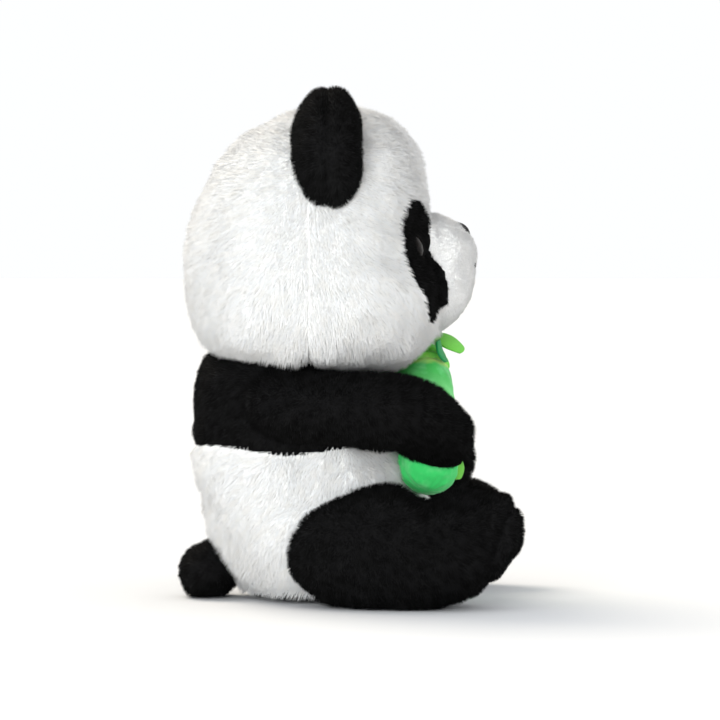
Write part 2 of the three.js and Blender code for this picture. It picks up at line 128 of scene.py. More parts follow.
class Nodes:
    """Builds one material's nodes."""

    def __init__(self, name, roughness, **constants):
        self.material = bpy.data.materials.new(name)
        self.material.use_nodes = True
        self.tree = self.material.node_tree
        self.shader = self.tree.nodes["Principled BSDF"]
        self.shader.inputs["Roughness"].default_value = roughness
        for key, value in constants.items():
            self.shader.inputs[key.replace("_", " ")].default_value = value

    def add(self, kind, inputs=None, **settings):
        node = self.tree.nodes.new(kind)
        for key, value in settings.items():
            setattr(node, key, value)
        for key, value in (inputs or {}).items():
            if isinstance(value, bpy.types.NodeSocket):
                self.tree.links.new(value, node.inputs[key])
            else:
                node.inputs[key].default_value = value
        return node

    def place(self):
        return self.add("ShaderNodeTexCoord").outputs["Object"]

    def noise(self, scale, detail, stretch=None):
        at = self.place()
        if stretch:
            at = self.add("ShaderNodeMapping", {"Vector": at, "Scale": stretch}).outputs[0]
        node = self.add("ShaderNodeTexNoise", {"Vector": at, "Scale": scale, "Detail": detail})
        return node.outputs["Fac"]

    def ramp(self, value, stops):
        node = self.add("ShaderNodeValToRGB", {"Fac": value})
        elements = node.color_ramp.elements
        while len(elements) < len(stops):
            elements.new(0.5)
        for element, (place, color) in zip(elements, stops):
            element.position = place
            element.color = (*color, 1)
        return node.outputs["Color"]

    def mix(self, share, a, b):
        """From socket a towards colour b by share."""
        node = self.add("ShaderNodeMix", {0: share, 6: a, 7: (*b, 1)}, data_type="RGBA")
        return node.outputs[2]

    def set_color(self, color):
        self.tree.links.new(color, self.shader.inputs["Base Color"])

    def set_bump(self, height, distance):
        bump = self.add("ShaderNodeBump", {"Height": height, "Distance": distance, "Strength": 0.6})
        self.tree.links.new(bump.outputs[0], self.shader.inputs["Normal"])


def scaled(color, share):
    return tuple(channel * share for channel in color)


def cloth_material(name, color, roughness, sheen, grain_mm, bump_mm, spread):
    """A woven or napped cloth whose colour wanders a little and whose nap stands up."""
    nodes = Nodes(name, roughness, Sheen_Weight=sheen, Sheen_Roughness=0.5, Specular_IOR_Level=0.25)
    wide = nodes.noise(1 / (18 * MM), 2)
    fine = nodes.noise(1 / (grain_mm * MM), 4)
    both = nodes.add("ShaderNodeMath", {0: wide, 1: fine}, operation="MULTIPLY").outputs[0]
    stops = [(0.12, scaled(color, 1 - spread)), (0.42, scaled(color, 1 + spread / 2))]
    nodes.set_color(nodes.ramp(both, stops))
    nodes.set_bump(fine, bump_mm * MM)
    return nodes.material


def pile_tints(name, colors, roughness, specular):
    """Plain tints, one of which each tuft of pile takes."""
    tints = []
    for i, color in enumerate(colors):
        nodes = Nodes(f"{name}_{i + 1}", roughness, Specular_IOR_Level=specular)
        nodes.shader.inputs["Base Color"].default_value = (*color, 1)
        tints.append(nodes.material)
    return tints


WHITE = (0.93, 0.925, 0.91)
BLACK = (0.003, 0.003, 0.0032)
# The white backing is 0.86 of the pile's white: painted shade where it shows at seams and between tufts.
SHADED_WHITE_SKIN = cloth_material("white_plush_backing", scaled(WHITE, 0.86), 0.95, 0.1, 1.2, 0.5, 0.04)
BLACK_SKIN = cloth_material("black_plush_backing", BLACK, 0.95, 0.0, 1.2, 0.5, 0.3)
WHITE_TINTS = [(0.975, 0.965, 0.94), (0.97, 0.97, 0.955), (0.955, 0.965, 0.97), (0.985, 0.98, 0.965)]
MUZZLE_TINTS = [(0.94, 0.935, 0.92), (0.91, 0.91, 0.905)]
BLACK_TINTS = [(0.0015,) * 3, (0.0025,) * 3, (0.004,) * 3, (0.006, 0.006, 0.0063)]
PILE = {
    "white": pile_tints("white_pile", WHITE_TINTS, 1.0, 0.05),
    "muzzle": pile_tints("muzzle_pile", MUZZLE_TINTS, 0.95, 0.05),
    "black": pile_tints("black_pile", BLACK_TINTS, 0.8, 0.09),
}
BAMBOO_LOW = np.array([-29, -47.5, 70.0])  # where the printed pattern starts and ends
BAMBOO_HIGH = np.array([27, -42.5, 148.0])


def bamboo_material(name):
    """Printed velour: green joints that pale towards each yellow-green node ring, then lime, mottled
    lighter by painted highlights.
    """
    nodes = Nodes(name, 0.85, Sheen_Weight=0.25, Sheen_Roughness=0.4, Specular_IOR_Level=0.2)
    axis = (BAMBOO_HIGH - BAMBOO_LOW) * MM
    along = axis / (axis @ axis)
    place = nodes.place()
    dot = nodes.add("ShaderNodeVectorMath", {0: place, 1: along}, operation="DOT_PRODUCT")
    blur = nodes.noise(1 / (11 * MM), 2)
    start = float((BAMBOO_LOW * MM) @ along)
    shifted = nodes.add("ShaderNodeMath", {0: dot.outputs["Value"], 1: start}, operation="SUBTRACT")
    wander = nodes.add("ShaderNodeMath", {0: blur, 1: 0.09, 2: -0.045}, operation="MULTIPLY_ADD")
    share = nodes.add("ShaderNodeMath", {0: shifted.outputs[0], 1: wander.outputs[0]}, operation="ADD")
    printed = nodes.ramp(
        share.outputs[0],
        [
            (0.0, (0.045, 0.62, 0.14)),
            (0.12, (0.06, 0.68, 0.17)),
            (0.29, (0.045, 0.56, 0.12)),
            (0.33, (0.33, 0.6, 0.11)),
            (0.37, (0.16, 0.6, 0.17)),
            (0.52, (0.15, 0.6, 0.18)),
            (0.63, (0.065, 0.46, 0.095)),
            (0.685, (0.05, 0.42, 0.08)),
            (0.715, (0.38, 0.62, 0.13)),
            (0.755, (0.15, 0.62, 0.06)),
            (1.0, (0.16, 0.66, 0.065)),
        ],
    )
    # The lighter mottled patches mixed into the print are painted highlights on the velour.
    painted_highlight_noise = nodes.noise(1 / (6 * MM), 5, stretch=(1, 0.6, 0.8))
    mottle = nodes.add("ShaderNodeMapRange", {0: painted_highlight_noise, 1: 0.48, 2: 0.72, 3: 0, 4: 0.4})
    nodes.set_color(nodes.mix(mottle.outputs[0], printed, (0.24, 0.76, 0.33)))
    nodes.set_bump(nodes.noise(1 / (0.8 * MM), 4), 0.35 * MM)
    return nodes.material


BAMBOO = bamboo_material("bamboo_velour")
LIME_FELT = cloth_material("lime_felt", (0.16, 0.56, 0.07), 0.9, 0.15, 0.7, 0.3, 0.15)
# Darker green felt for the hanging leaf: partly its own colour and partly painted shade from the front
# leaf above it.
SHADED_DARK_FELT = cloth_material("dark_felt", (0.012, 0.27, 0.07), 0.9, 0.15, 0.7, 0.3, 0.2)
THREAD = cloth_material("black_thread", (0.006, 0.005, 0.0055), 0.6, 0.0, 0.4, 0.1, 0.25)


def eye_material():
    """Moulded plastic, black with very dark brown streaks."""
    nodes = Nodes("eye_plastic", 0.1, Specular_IOR_Level=0.1)
    streaks = nodes.noise(1 / (2.5 * MM), 3)
    nodes.set_color(nodes.ramp(streaks, [(0.35, (0.003, 0.0025, 0.002)), (0.75, (0.012, 0.007, 0.005))]))
    return nodes.material


EYE_PLASTIC = eye_material()


# ---- Noise and smooth curves ----


class Waves:
    """Smooth noise of one wavelength, as a sum of plane waves, with its gradient."""

    def __init__(self, wavelength, seed, count=18):
        source = np.random.default_rng(seed)
        directions = source.normal(size=(count, 3))
        directions /= np.linalg.norm(directions, axis=1)[:, None]
        lengths = wavelength * source.uniform(0.7, 1.5, count)
        self.k = directions * (2 * math.pi / lengths)[:, None]
        self.phase = source.uniform(0, 2 * math.pi, count)
        self.scale = math.sqrt(2 / count)

    def value(self, points):
        return np.sin(points @ self.k.T + self.phase).sum(1) * self.scale

    def gradient(self, points):
        """Points uphill, and is about 1 long where the noise is steepest."""
        slopes = np.cos(points @ self.k.T + self.phase) @ self.k
        return slopes * self.scale / np.linalg.norm(self.k, axis=1).mean()


def curve_through(points, t):
    """Places on a smooth curve through the points, for t from 0 to 1."""
    p = np.asarray(points, float)
    p = np.vstack([2 * p[0] - p[1], p, 2 * p[-1] - p[-2]])
    last = len(p) - 3
    s = np.clip(t, 0, 1) * last
    i = np.minimum(s.astype(int), last - 1)
    f = (s - i)[:, None]
    a, b, c, d = p[i], p[i + 1], p[i + 2], p[i + 3]
    return 0.5 * (
        2 * b + (c - a) * f + (2 * a - 5 * b + 4 * c - d) * f**2 + (3 * b - a - 3 * c + d) * f**3
    )


def unit(vectors):
    return vectors / np.maximum(np.linalg.norm(vectors, axis=-1, keepdims=True), 1e-9)


def bell(distance, width):
    return np.exp(-((distance / width) ** 2))


def full_turn(steps):
    return np.arange(steps) * 2 * math.pi / steps


def signed_power(values, power):
    return np.sign(values) * np.abs(values) ** power


# ---- Soft forms, close to the CAD's and finer ----

HEAD = {
    "low": 143,
    "high": 281.5,
    "bottom": 6,
    "top": 2.45,
    "plan": 2.4,
    "sections": [(79, -46, 90), (85, -54, 90.5), (81, -43, 88.5), (71, -43, 78), (54, -50, 62)],
}
TORSO = {
    "low": -3,
    "high": 143,
    "bottom": 4,
    "top": 6,
    "plan": 2.2,
    "sections": [(54, -24, 63), (63, -42, 75), (60, -37, 85), (51, -26, 88.5), (50, -20, 89)],
}
LEG = {
    "low": -3,
    "high": 68,
    "bottom": 3.1,
    "top": 2.8,
    "plan": 2.2,
    "sections": [(28, -92, 25), (30, -97, 32), (29, -97, 28), (26, -94, 18)],
}


def ball_form(ball, around, rings):
    """Points and triangles of a slightly square ball."""
    wide, deep, tall = ball["half"]
    form = {"low": -tall, "high": tall, "bottom": 2.3, "top": 2.3, "plan": 2.2}
    form["sections"] = [(wide, -deep, deep)] * 2
    points, triangles = soft_form(form, around, rings)
    return points + ball["at"], triangles


def section_at(form, z):
    """(height from -1 to 1, half width, front y, back y) at each z."""
    half = (form["high"] - form["low"]) / 2
    height = np.clip((z - form["low"]) / half - 1, -1, 1)
    rows = curve_through(form["sections"], (height + 1) / 2)
    return height, rows[:, 0], rows[:, 1], rows[:, 2]


def spread_at(form, height):
    end = np.where(height > 0, form["top"], form["bottom"])
    return np.maximum(1 - np.abs(height) ** end, 0) ** (1 / end)


def soft_form(form, around=112, rings=72):
    """Points and triangles of a closed form, its rings evenly spaced along its outline."""
    lean = np.linspace(-math.pi / 2, math.pi / 2, 4000)
    end = np.where(lean > 0, form["top"], form["bottom"])
    height = signed_power(np.sin(lean), 2 / end)
    spread = np.maximum(np.cos(lean), 0) ** (2 / end)
    width = np.mean([s[0] for s in form["sections"]])
    tall = (form["high"] - form["low"]) / 2
    steps = np.hypot(np.diff(height) * tall, np.diff(spread) * width)
    run = np.concatenate([[0], np.cumsum(steps)])
    even = np.linspace(0, run[-1], rings + 2)
    height, spread = np.interp(even, run, height), np.interp(even, run, spread)

    turn = full_turn(around)
    across = signed_power(np.cos(turn), 2 / form["plan"])
    along = signed_power(np.sin(turn), 2 / form["plan"])
    rows = curve_through(form["sections"], (height + 1) / 2)
    middle, depth = (rows[:, 1] + rows[:, 2]) / 2, (rows[:, 2] - rows[:, 1]) / 2
    x = spread[:, None] * across * rows[:, :1]
    y = middle[:, None] + spread[:, None] * along * depth[:, None]
    z = np.repeat((form["low"] + tall + height * tall)[:, None], around, 1)
    return closed_grid(np.stack([x, y, z], -1))


def closed_grid(rows):
    """A grid of rings, the first and last shrunk to a point, as points and triangles."""
    inner = rows[1:-1]
    rings, around = inner.shape[:2]
    points = np.vstack([rows[0].mean(0), inner.reshape(-1, 3), rows[-1].mean(0)])
    i, j = np.meshgrid(np.arange(rings - 1), np.arange(around), indexing="ij")
    a, b = 1 + i * around + j, 1 + i * around + (j + 1) % around
    c, d = a + around, b + around
    quads = np.concatenate([np.stack([a, b, d], -1), np.stack([a, d, c], -1)]).reshape(-1, 3)
    j = np.arange(around)
    low = np.stack([np.zeros_like(j), 1 + (j + 1) % around, 1 + j], -1)
    top = 1 + (rings - 1) * around
    high = np.stack([np.full_like(j, len(points) - 1), top + j, top + (j + 1) % around], -1)
    return points, np.concatenate([quads, low, high])


def deep_inside(form, points, deep=1):
    """Whether each point is inside a form, and at least that deep."""
    height, half_width, front, back = section_at(form, points[:, 2])
    spread = spread_at(form, height)
    reach = np.abs(points[:, 0] / (half_width - deep)) ** form["plan"]
    reach += np.abs((points[:, 1] - (front + back) / 2) / ((back - front) / 2 - deep)) ** form["plan"]
    tall = (points[:, 2] > form["low"] + deep) & (points[:, 2] < form["high"] - deep)
    return tall & (reach ** (1 / form["plan"]) < spread)


def face_y(x, z):
    """The y of the head's front at that x and z."""
    height, half_width, front, back = (v[0] for v in section_at(HEAD, np.array([float(z)])))
    spread = spread_at(HEAD, np.array([height]))[0]
    share = 1 - abs(x / (half_width * spread)) ** HEAD["plan"]
    return (front + back) / 2 - (back - front) / 2 * spread * max(share, 0) ** (1 / HEAD["plan"])


def face_normal(x, z, step=5):
    slope_x = (face_y(x + step, z) - face_y(x - step, z)) / (2 * step)
    slope_z = (face_y(x, z + step) - face_y(x, z - step)) / (2 * step)
    return unit(np.array([slope_x, -1, slope_z]))


# ---- Meshes ----


def point_normals(points, triangles):
    a, b, c = (points[triangles[:, k]] for k in range(3))
    flat = np.cross(b - a, c - a)
    normals = np.zeros_like(points)
    for k in range(3):
        np.add.at(normals, triangles[:, k], flat)
    return unit(normals)


def smoothed(points, triangles, times):
    edges = np.concatenate([triangles[:, [0, 1]], triangles[:, [1, 2]], triangles[:, [2, 0]]])
    edges = np.concatenate([edges, edges[:, ::-1]])
    count = np.bincount(edges[:, 0], minlength=len(points))[:, None]
    for _ in range(times):
        total = np.zeros_like(points)
        np.add.at(total, edges[:, 0], points[edges[:, 1]])
        points = points + 0.5 * (total / count - points)
    return points


def joined(parts):
    """Several pairs of points and triangles as one pair."""
    starts = np.cumsum([0] + [len(points) for points, _ in parts[:-1]])
    triangles = [faces + start for (_, faces), start in zip(parts, starts)]
    return np.vstack([points for points, _ in parts]), np.vstack(triangles)


def facing_out(points, triangles):
    """A closed surface's triangles, turned over if they face inwards."""
    a, b, c = (points[triangles[:, k]] for k in range(3))
    return triangles if np.einsum("ij,ij->", a, np.cross(b, c)) > 0 else triangles[:, ::-1]


def mesh_object(name, points, triangles, materials, slots=None, normals=None):
    """A mesh in metres from points in millimetres."""
    used, inverse = np.unique(triangles, return_inverse=True)
    corners = inverse.reshape(-1).astype(np.int32)
    mesh = bpy.data.meshes.new(name)
    mesh.vertices.add(len(used))
    mesh.vertices.foreach_set("co", (points[used] * MM).astype(np.float32).ravel())
    mesh.loops.add(len(corners))
    mesh.loops.foreach_set("vertex_index", corners)
    mesh.polygons.add(len(corners) // 3)
    mesh.polygons.foreach_set("loop_start", np.arange(0, len(corners), 3, dtype=np.int32))
    for material in materials:
        mesh.materials.append(material)
    if slots is not None:
        mesh.polygons.foreach_set("material_index", slots.astype(np.int32))
    mesh.update()
    mesh.polygons.foreach_set("use_smooth", np.full(len(corners) // 3, True))
    if normals is not None:
        mesh.normals_split_custom_set_from_vertices(normals[used])
    mesh.update()
    return link(name, mesh)


def piece(name, points, triangles, material, body, slot, *nodes):
    """A mesh that rides on a body and stands for the CAD nodes. Its slot is not used."""
    made = mesh_object(name, points, triangles, [material])
    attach(made, body)
    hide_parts(*nodes)
    return made


def voxel_union(parts, voxel):
    """One closed surface round several, as points and triangles."""
    obj = mesh_object("union", *joined(parts), [])
    remesh = obj.modifiers.new("remesh", "REMESH")
    remesh.mode = "VOXEL"
    remesh.voxel_size = voxel * MM
    evaluated = obj.evaluated_get(bpy.context.evaluated_depsgraph_get())
    made = evaluated.to_mesh()
    made.calc_loop_triangles()
    co = np.zeros(len(made.vertices) * 3, np.float32)
    made.vertices.foreach_get("co", co)
    tri = np.zeros(len(made.loop_triangles) * 3, np.int32)
    made.loop_triangles.foreach_get("vertices", tri)
    evaluated.to_mesh_clear()
    bpy.data.objects.remove(obj)
    return co.reshape(-1, 3).astype(float) / MM, tri.reshape(-1, 3)


# ---- Pile ----

FLOOR_CLEARANCE = 0.2
DOWN_AND_BACK = np.array([0.0, 0.35, -1.0])
SWIRL, SWIRL_SIZE = 0.13, 34  # how far patches of tufts lean their own way, and the patches' size
LOOSE = 0.1  # how far each tuft leans its own way


def pile(
    name, points, triangles, normals, tints, length, keep, shorter,
    density, width, lean, clump, clump_size, comb=DOWN_AND_BACK,
):
    """Tapered three-sided tufts that stand on triangles, lean along comb and gather in clumps."""
    a, b, c = (points[triangles[:, k]] for k in range(3))
    area = np.linalg.norm(np.cross(b - a, c - a), axis=1) / 2
    count = int(area.sum() * density)
    picked = rng.choice(len(area), count, p=area / area.sum())
    u, v = rng.random(count), rng.random(count)
    u, v = np.where(u + v > 1, 1 - u, u)[:, None], np.where(u + v > 1, 1 - v, v)[:, None]
    root = a[picked] * (1 - u - v) + b[picked] * u + c[picked] * v
    na, nb, nc = (normals[triangles[picked, k]] for k in range(3))
    out = unit(na * (1 - u - v) + nb * u + nc * v)
    kept = keep(root)
    root, out = root[kept], out[kept]
    count = len(root)

    tangent = lambda vectors: vectors - out * (vectors * out).sum(1)[:, None]
    seed = sum(map(ord, name))
    along = comb(root) if callable(comb) else np.broadcast_to(comb, root.shape)
    combed = tangent(along) * lean
    gathered = tangent(Waves(clump_size, seed).gradient(root)) * clump
    swirl = tangent(Waves(SWIRL_SIZE, seed + 1).gradient(root)) * SWIRL
    loose = tangent(rng.normal(size=root.shape)) * LOOSE
    direction = unit(out + combed + gathered + swirl + loose)
    patchy = 1 + 0.06 * Waves(clump_size * 0.8, seed + 2).value(root)
    tall = length * rng.uniform(0.8, 1.1, count) * patchy * shorter(root)
    tip = root + direction * tall[:, None]

    turn = rng.uniform(0, 2 * math.pi, count)
    side = unit(np.cross(direction, unit(rng.normal(size=root.shape))))
    across = np.cross(direction, side)
    radius = width / 2 * rng.uniform(0.8, 1.2, count)[:, None]
    angles = [(turn + third)[:, None] for third in full_turn(3)]
    ring = [side * np.cos(angle) + across * np.sin(angle) for angle in angles]
    base = root - out * 0.4
    corners = np.stack([base + r * radius for r in ring] + [tip], 1).reshape(-1, 3)
    shading = np.stack([unit(out + 0.2 * r) for r in ring] + [unit(out + 0.15 * direction)], 1)
    first = np.arange(count)[:, None] * 4
    faces = np.stack([first + t for t in ([0, 1, 3], [1, 2, 3], [2, 0, 3])], 1).reshape(-1, 3)
    corners[:, 2] = np.maximum(corners[:, 2], FLOOR_CLEARANCE)
    mottle = 0.5 + 0.28 * Waves(7, seed + 3).value(root) + rng.normal(size=count) * 0.2
    slot = np.clip((mottle * len(tints)).astype(int), 0, len(tints) - 1)
    return mesh_object(name, corners, faces, tints, np.repeat(slot, 3), shading.reshape(-1, 3))


# ---- Plush pieces: a skin for each sewn panel, and the pile on it ----

WHITE_LENGTH = 6.6
BLACK_LENGTH = 3.6
LUMPS = Waves(46, 3)
DIMPLES = Waves(17, 4)
CLOTH = {"black": BLACK_SKIN, "white": SHADED_WHITE_SKIN, "muzzle": SHADED_WHITE_SKIN}
TUFTS = {
    "white": {"density": 1.9, "width": 0.58, "lean": 1.0, "clump": 0.12, "clump_size": 9},
    "black": {"density": 2.2, "width": 0.45, "lean": 0.6, "clump": 0.14, "clump_size": 9},
    "muzzle": {"density": 4.6, "width": 0.42, "lean": 0.7, "clump": 0.08, "clump_size": 7},
}


def stuffed(points, triangles, seams=(), lumps=1.0, sunk=1.7, width=3.2):
    """Swells a form unevenly, as fibre stuffing does, and sinks its seams."""
    out = point_normals(points, triangles)
    swell = lumps * (LUMPS.value(points) + 0.45 * DIMPLES.value(points))
    for seam in seams:
        swell -= sunk * bell(seam(points), width)
    points = points + out * swell[:, None]
    points[:, 2] = np.maximum(points[:, 2], 1.0)
    return points


def dress(body, points, triangles, panels, seams=(), keep=None):
    """Cuts a stuffed form into sewn panels, each a skin and its pile.

    A panel has a name, where it is (a test of places, or a mask of faces), its colour, its pile length
    and the CAD nodes it stands for, and may change how its tufts lie. A seam gives the distance from it.
    """
    out = point_normals(points, triangles)
    centres = points[triangles].mean(1)

    def near_seams(places):
        share = np.ones(len(places))
        for seam in seams:
            share -= 0.15 * bell(seam(places), 2.2)
        return np.maximum(share, 0.35)

    for name, where, color, length, nodes, *changes in panels:
        by_place = callable(where)
        within = where(centres) if by_place else where
        cloth, slot = CLOTH[color], f"{color}_plush"
        skin = piece(f"{name}_skin", points, triangles[within], cloth, body, slot, *nodes)
        settings = {**TUFTS[color], **(changes[0] if changes else {})}
        if by_place:
            within = within | where(points)[triangles].any(1)

        def rooted(places):
            free = np.ones(len(places), bool) if keep is None else keep(places)
            return free & where(places) if by_place else free

        rooted_on = triangles[within], out, PILE[color], length, rooted, near_seams
        fur = pile(f"{name}_pile", points, *rooted_on, **settings)
        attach(fur, body)


def plane(axis, at):
    return lambda p: p[:, axis] - at


def both(*masks):
    return lambda p: np.logical_and.reduce([mask(p) for mask in masks])


def other(mask):
    return lambda p: ~mask(p)


def on_side(side):
    return lambda p: p[:, 0] * side >= 0


# ---- Head ----

HEAD_SEAM_Y = 23
# The head's pile parts at the seam over its top, and flows away from these places above it.
FACE_CROWN = np.array([0, 50, 300.0])
BACK_CROWN = np.array([0, -4, 300.0])
MUZZLE = {"at": np.array([0, -38, 188.0]), "half": (33, 34.5, 34)}
MUZZLE_TIP = {"at": np.array([0, -49.5, 198.5]), "half": (26, 25.5, 23)}
CHIN_HOLLOW = {"at": np.array([12, -52, 136.0]), "half": np.array([45, 30, 19.0])}
EYE = {"x": 38.5, "z": 203.5, "radius": 8, "dome": 4.4, "sunk": 3.4}
NOSE = {"at": np.array([0, -65.5, 212.5]), "half_width": 11.5, "half_height": 8, "proud": 1.7}
NOSE_OUT = np.array([0, -0.6, 0.8])
NOSE_UP = np.array([0, 0.8, 0.6])
MOUTH = {"radius": 0.65, "arc": 5.5, "drop": 9}

# Levels of an eye's black surround: z, x of its inner and outer edge, and how far forward it is in y.
PATCH_EDGES = [
    (161, 34, 44, -49),
    (167, 27, 51, -54),
    (171, 22, 55, -56.5),
    (181, 23, 61.5, -56.5),
    (189, 25, 62.5, -54.5),
    (196, 26, 61.5, -48),
    (202, 25, 61, -45.5),
    (208, 23, 59, -46.5),
    (219, 21, 55.5, -44),
    (226, 23, 51.5, -41),
    (230.5, 27, 48, -39),
]


def away_from(crown):
    return lambda points: unit(points - crown)


def ball_reach(points, ball, grown):
    return np.linalg.norm((points - ball["at"]) / (np.array(ball["half"]) + grown), axis=1)


def muzzle_reach(points):
    """Below 1 on the muzzle's cover, and 1 at the seam that joins it to the face."""
    reach = np.minimum(ball_reach(points, MUZZLE, 3.2), ball_reach(points, MUZZLE_TIP, 3.2))
    return np.where(points[:, 1] < -40, reach, 9)


def on_patch(side):
    z, inner, outer, front = np.array(PATCH_EDGES).T

    def mask(p):
        wander = 0.5 * Waves(14, 9).value(p)
        x, height = side * p[:, 0] + wander, p[:, 2] + wander
        wide = (x > np.interp(height, z, inner)) & (x < np.interp(height, z, outer))
        deep = (p[:, 1] < -18) & (p[:, 1] > np.interp(height, z, front))
        return wide & deep & (height > z[0]) & (height < z[-1])

    return mask


def patch_edge(side):
    """The distance from the nearer long edge of an eye patch."""
    z, inner, outer, _ = np.array(PATCH_EDGES).T

    def distance(p):
        x, height = side * p[:, 0], p[:, 2]
        sides = [np.abs(x - np.interp(height, z, edge)) for edge in (inner, outer)]
        near = (height > z[0] - 3) & (height < z[-1] + 4) & (p[:, 1] < -10)
        return np.where(near, np.minimum(*sides), 99)

    return distance


def eye_place(side):
    """Where an eye's middle is on the face, and the way it looks."""
    x, z = side * EYE["x"], EYE["z"]
    return np.array([x, face_y(x, z), z]), unit(face_normal(x, z) + [0, -0.35, 0])


def head_shape():
    balls = [ball_form(ball, 72, 48) for ball in (MUZZLE, MUZZLE_TIP)]
    points, triangles = voxel_union([soft_form(HEAD), *balls], 2.2)
    points = smoothed(points, triangles, 10)

    # The underside hangs at the jaw and rises at the nape.
    low = np.clip(1 - (points[:, 2] - HEAD["low"]) / 36, 0, 1)
    points[:, 2] += low * np.interp(points[:, 1], [-45, -20, 20, 55, 90], [-7, -9, -7.5, -3, 3])
    # The chin gives way to the top of the bamboo.
    hollow = (points - CHIN_HOLLOW["at"]) / CHIN_HOLLOW["half"]
    reach = np.linalg.norm(hollow, axis=1)
    push = np.where(reach < 1, 1 / np.maximum(reach, 0.3), 1)[:, None]
    points = CHIN_HOLLOW["at"] + hollow * push * CHIN_HOLLOW["half"]
    points = smoothed(points, triangles, 3)

    out = point_normals(points, triangles)
    philtrum = 1.9 * bell(points[:, 0], 6.5) * np.clip((-52 - points[:, 1]) / 8, 0, 1)
    points = points - out * philtrum[:, None]
    for side in SIDES.values():
        brow = np.linalg.norm(points - [side * 28, -44, 211], axis=1)
        socket = np.linalg.norm(points - eye_place(side)[0], axis=1)
        points = points + out * (4 * bell(brow, 15) - 2.6 * bell(socket, 9))[:, None]
    return points, triangles


def caster(points, triangles):
    """A function that gives where a ray first meets a surface, or None."""
    tree = BVHTree.FromPolygons(points.tolist(), triangles.tolist())

    def cast(origin, direction):
        hit = tree.ray_cast(Vector(origin), Vector(direction))[0]
        return None if hit is None else np.array(hit)

    return cast


def grid_faces(rows, columns):
    i, j = np.meshgrid(np.arange(rows - 1), np.arange(columns - 1), indexing="ij")
    a = i * columns + j
    b, c, d = a + 1, a + columns, a + columns + 1
    return np.concatenate([np.stack([a, b, d], -1), np.stack([a, d, c], -1)]).reshape(-1, 3)


def build_nose(cast):
    """A satin-stitched rounded triangle, its threads running across."""
    n = 72
    x, y = np.meshgrid(*[np.linspace(-1, 1, n)] * 2)
    u, v = x * np.sqrt(1 - y**2 / 2), y * np.sqrt(1 - x**2 / 2)
    reach = np.hypot(u, v).ravel()
    across = (u * (1 + 0.22 * v)).ravel() * NOSE["half_width"]
    up = v.ravel() * NOSE["half_height"]
    points = []
    for a, b, r in zip(across, up, reach):
        start = NOSE["at"] + np.array([a, 0, 0]) + NOSE_UP * b + NOSE_OUT * 25
        hit = cast(start, -NOSE_OUT)
        ridge = 0.13 * math.cos(2 * math.pi * b / 0.85) * (1 - r**4)
        points.append(hit + NOSE_OUT * (NOSE["proud"] * (1.25 - r**4 * 1.6) + ridge))
    piece("nose_satin", np.array(points), grid_faces(n, n), THREAD, "head", "black_thread", "nose")


def mouth_paths(cast):
    """The stitched line under the nose and its two arcs, laid on the muzzle."""
    top = NOSE["at"][2] - NOSE_UP[2] * NOSE["half_height"] - 2
    fork = top - MOUTH["drop"]
    line = [(0, z) for z in np.arange(top, fork, -0.4)]
    paths = [line]
    for side in SIDES.values():
        turns = np.linspace(0, 0.8 * math.pi, 48)
        r = MOUTH["arc"]
        paths.append([(side * r * (1 - math.cos(a)), fork - r * math.sin(a)) for a in turns])
    laid = []
    for path in paths:
        hits = [cast((x, -140, z), (0, 1, 0)) for x, z in path]
        laid.append(np.array(hits) - [0, 0.25, 0])
    return laid


def circles(side, rise, turn):
    """The directions round a line, from the two ways across it at each of its places."""
    return side[:, None] * np.cos(turn)[None, :, None] + rise[:, None] * np.sin(turn)[None, :, None]


def stitching(path, twist=0.9, sides=10):
    """Points and triangles of twisted thread that follows a path."""
    tangent = unit(np.gradient(path, axis=0))
    side = unit(np.cross(tangent, [0, 1, 0.01]))
    rise = np.cross(tangent, side)
    turn = full_turn(sides)
    run = np.arange(len(path))[:, None]
    radius = MOUTH["radius"] * (1 + 0.14 * np.cos(2 * turn[None] - twist * run))
    rows = path[:, None] + radius[..., None] * circles(side, rise, turn)
    start, end = (np.broadcast_to(place, rows[:1].shape) for place in (path[0], path[-1]))
    return closed_grid(np.concatenate([start, rows, end]))


def build_mouth(paths):
    points, triangles = joined([stitching(path) for path in paths])
    piece("mouth_thread", points, triangles, THREAD, "head", "black_thread", "mouth_stitching")


def build_eyes():
    for name, side in SIDES.items():
        place, look = eye_place(side)
        right = unit(np.cross(look, [0, 0, 1]))
        up = np.cross(right, look)
        lean = np.linspace(0, math.pi / 2, 16)
        profile = [(EYE["radius"] * math.cos(a), EYE["dome"] * math.sin(a)) for a in lean]
        profile = [(0, -1.5), (EYE["radius"] * 0.96, -1.5), (EYE["radius"] * 1.03, -0.5), *profile]
        turn = full_turn(40)
        circle = right * np.cos(turn)[:, None] + up * np.sin(turn)[:, None]
        rows = [place + look * (h - EYE["sunk"]) + r * circle for r, h in profile]
        points, triangles = closed_grid(np.array(rows))
        nodes = [f"eye_{name}", f"eye_washer_{name}"]
        piece(f"eye_bead_{name}", points, triangles, EYE_PLASTIC, "head", "eye_plastic", *nodes)


